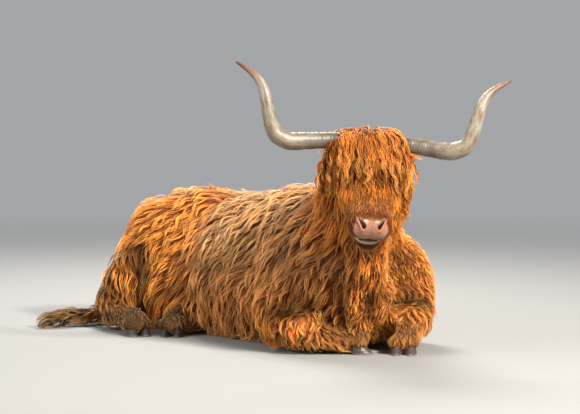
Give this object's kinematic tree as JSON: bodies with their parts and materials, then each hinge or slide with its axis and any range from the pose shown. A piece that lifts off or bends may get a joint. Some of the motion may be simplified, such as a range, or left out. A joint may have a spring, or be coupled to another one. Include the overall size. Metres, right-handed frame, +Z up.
{
  "type": "lying highland cow, still life-size model",
  "caption": "Life-size still model of a long-horned shaggy ginger cow lying on its brisket, head up and turned to its right.",
  "frame": {"origin": "on the floor, in the middle of the box around the whole animal", "axes": "+Z up from the floor, -Y the way the animal's body faces, +X towards its left side"},
  "size_m": [1.2349, 2.1043, 1.2229],
  "materials": {
    "coat_body": "long wavy hair, tan brown with blond tips",
    "coat_rump": "long wavy hair, bright ginger",
    "coat_head": "long ginger forelock and short face hair",
    "coat_limb": "short brown to grey-brown hair",
    "coat_tail": "long dark brown switch",
    "nose_skin": "moist pinkish tan skin, pebbled",
    "horn": "grey-white horn, rough at the root, red-brown at the tip",
    "claw": "dark grey hoof horn",
    "eye": "wet, dark brown"
  },
  "bodies": {
    "root": {"ear_left": "coat_head", "ear_right": "coat_head", "eye_left": "eye", "eye_right": "eye", "foreleg_left_cannon": "coat_limb", "foreleg_left_claw_inner": "claw", "foreleg_left_claw_outer": "claw", "foreleg_left_forearm": "coat_body", "foreleg_right_cannon": "coat_limb", "foreleg_right_claw_inner": "claw", "foreleg_right_claw_outer": "claw", "foreleg_right_forearm": "coat_body", "head": "coat_head", "hindleg_left_claw_inner": "claw", "hindleg_left_claw_outer": "claw", "hindleg_left_foot": "coat_limb", "hindleg_right_claw_inner": "claw", "hindleg_right_claw_outer": "claw", "hindleg_right_foot": "coat_limb", "hindleg_right_shank": "coat_rump", "horn_left": "horn", "horn_right": "horn", "muzzle": "nose_skin", "neck": "coat_body", "tail_brush": "coat_tail", "tail_middle": "coat_tail", "tail_root": "coat_rump", "trunk_belly": "coat_body", "trunk_chest": "coat_body", "trunk_rump": "coat_rump"}
  },
  "joints": []
}
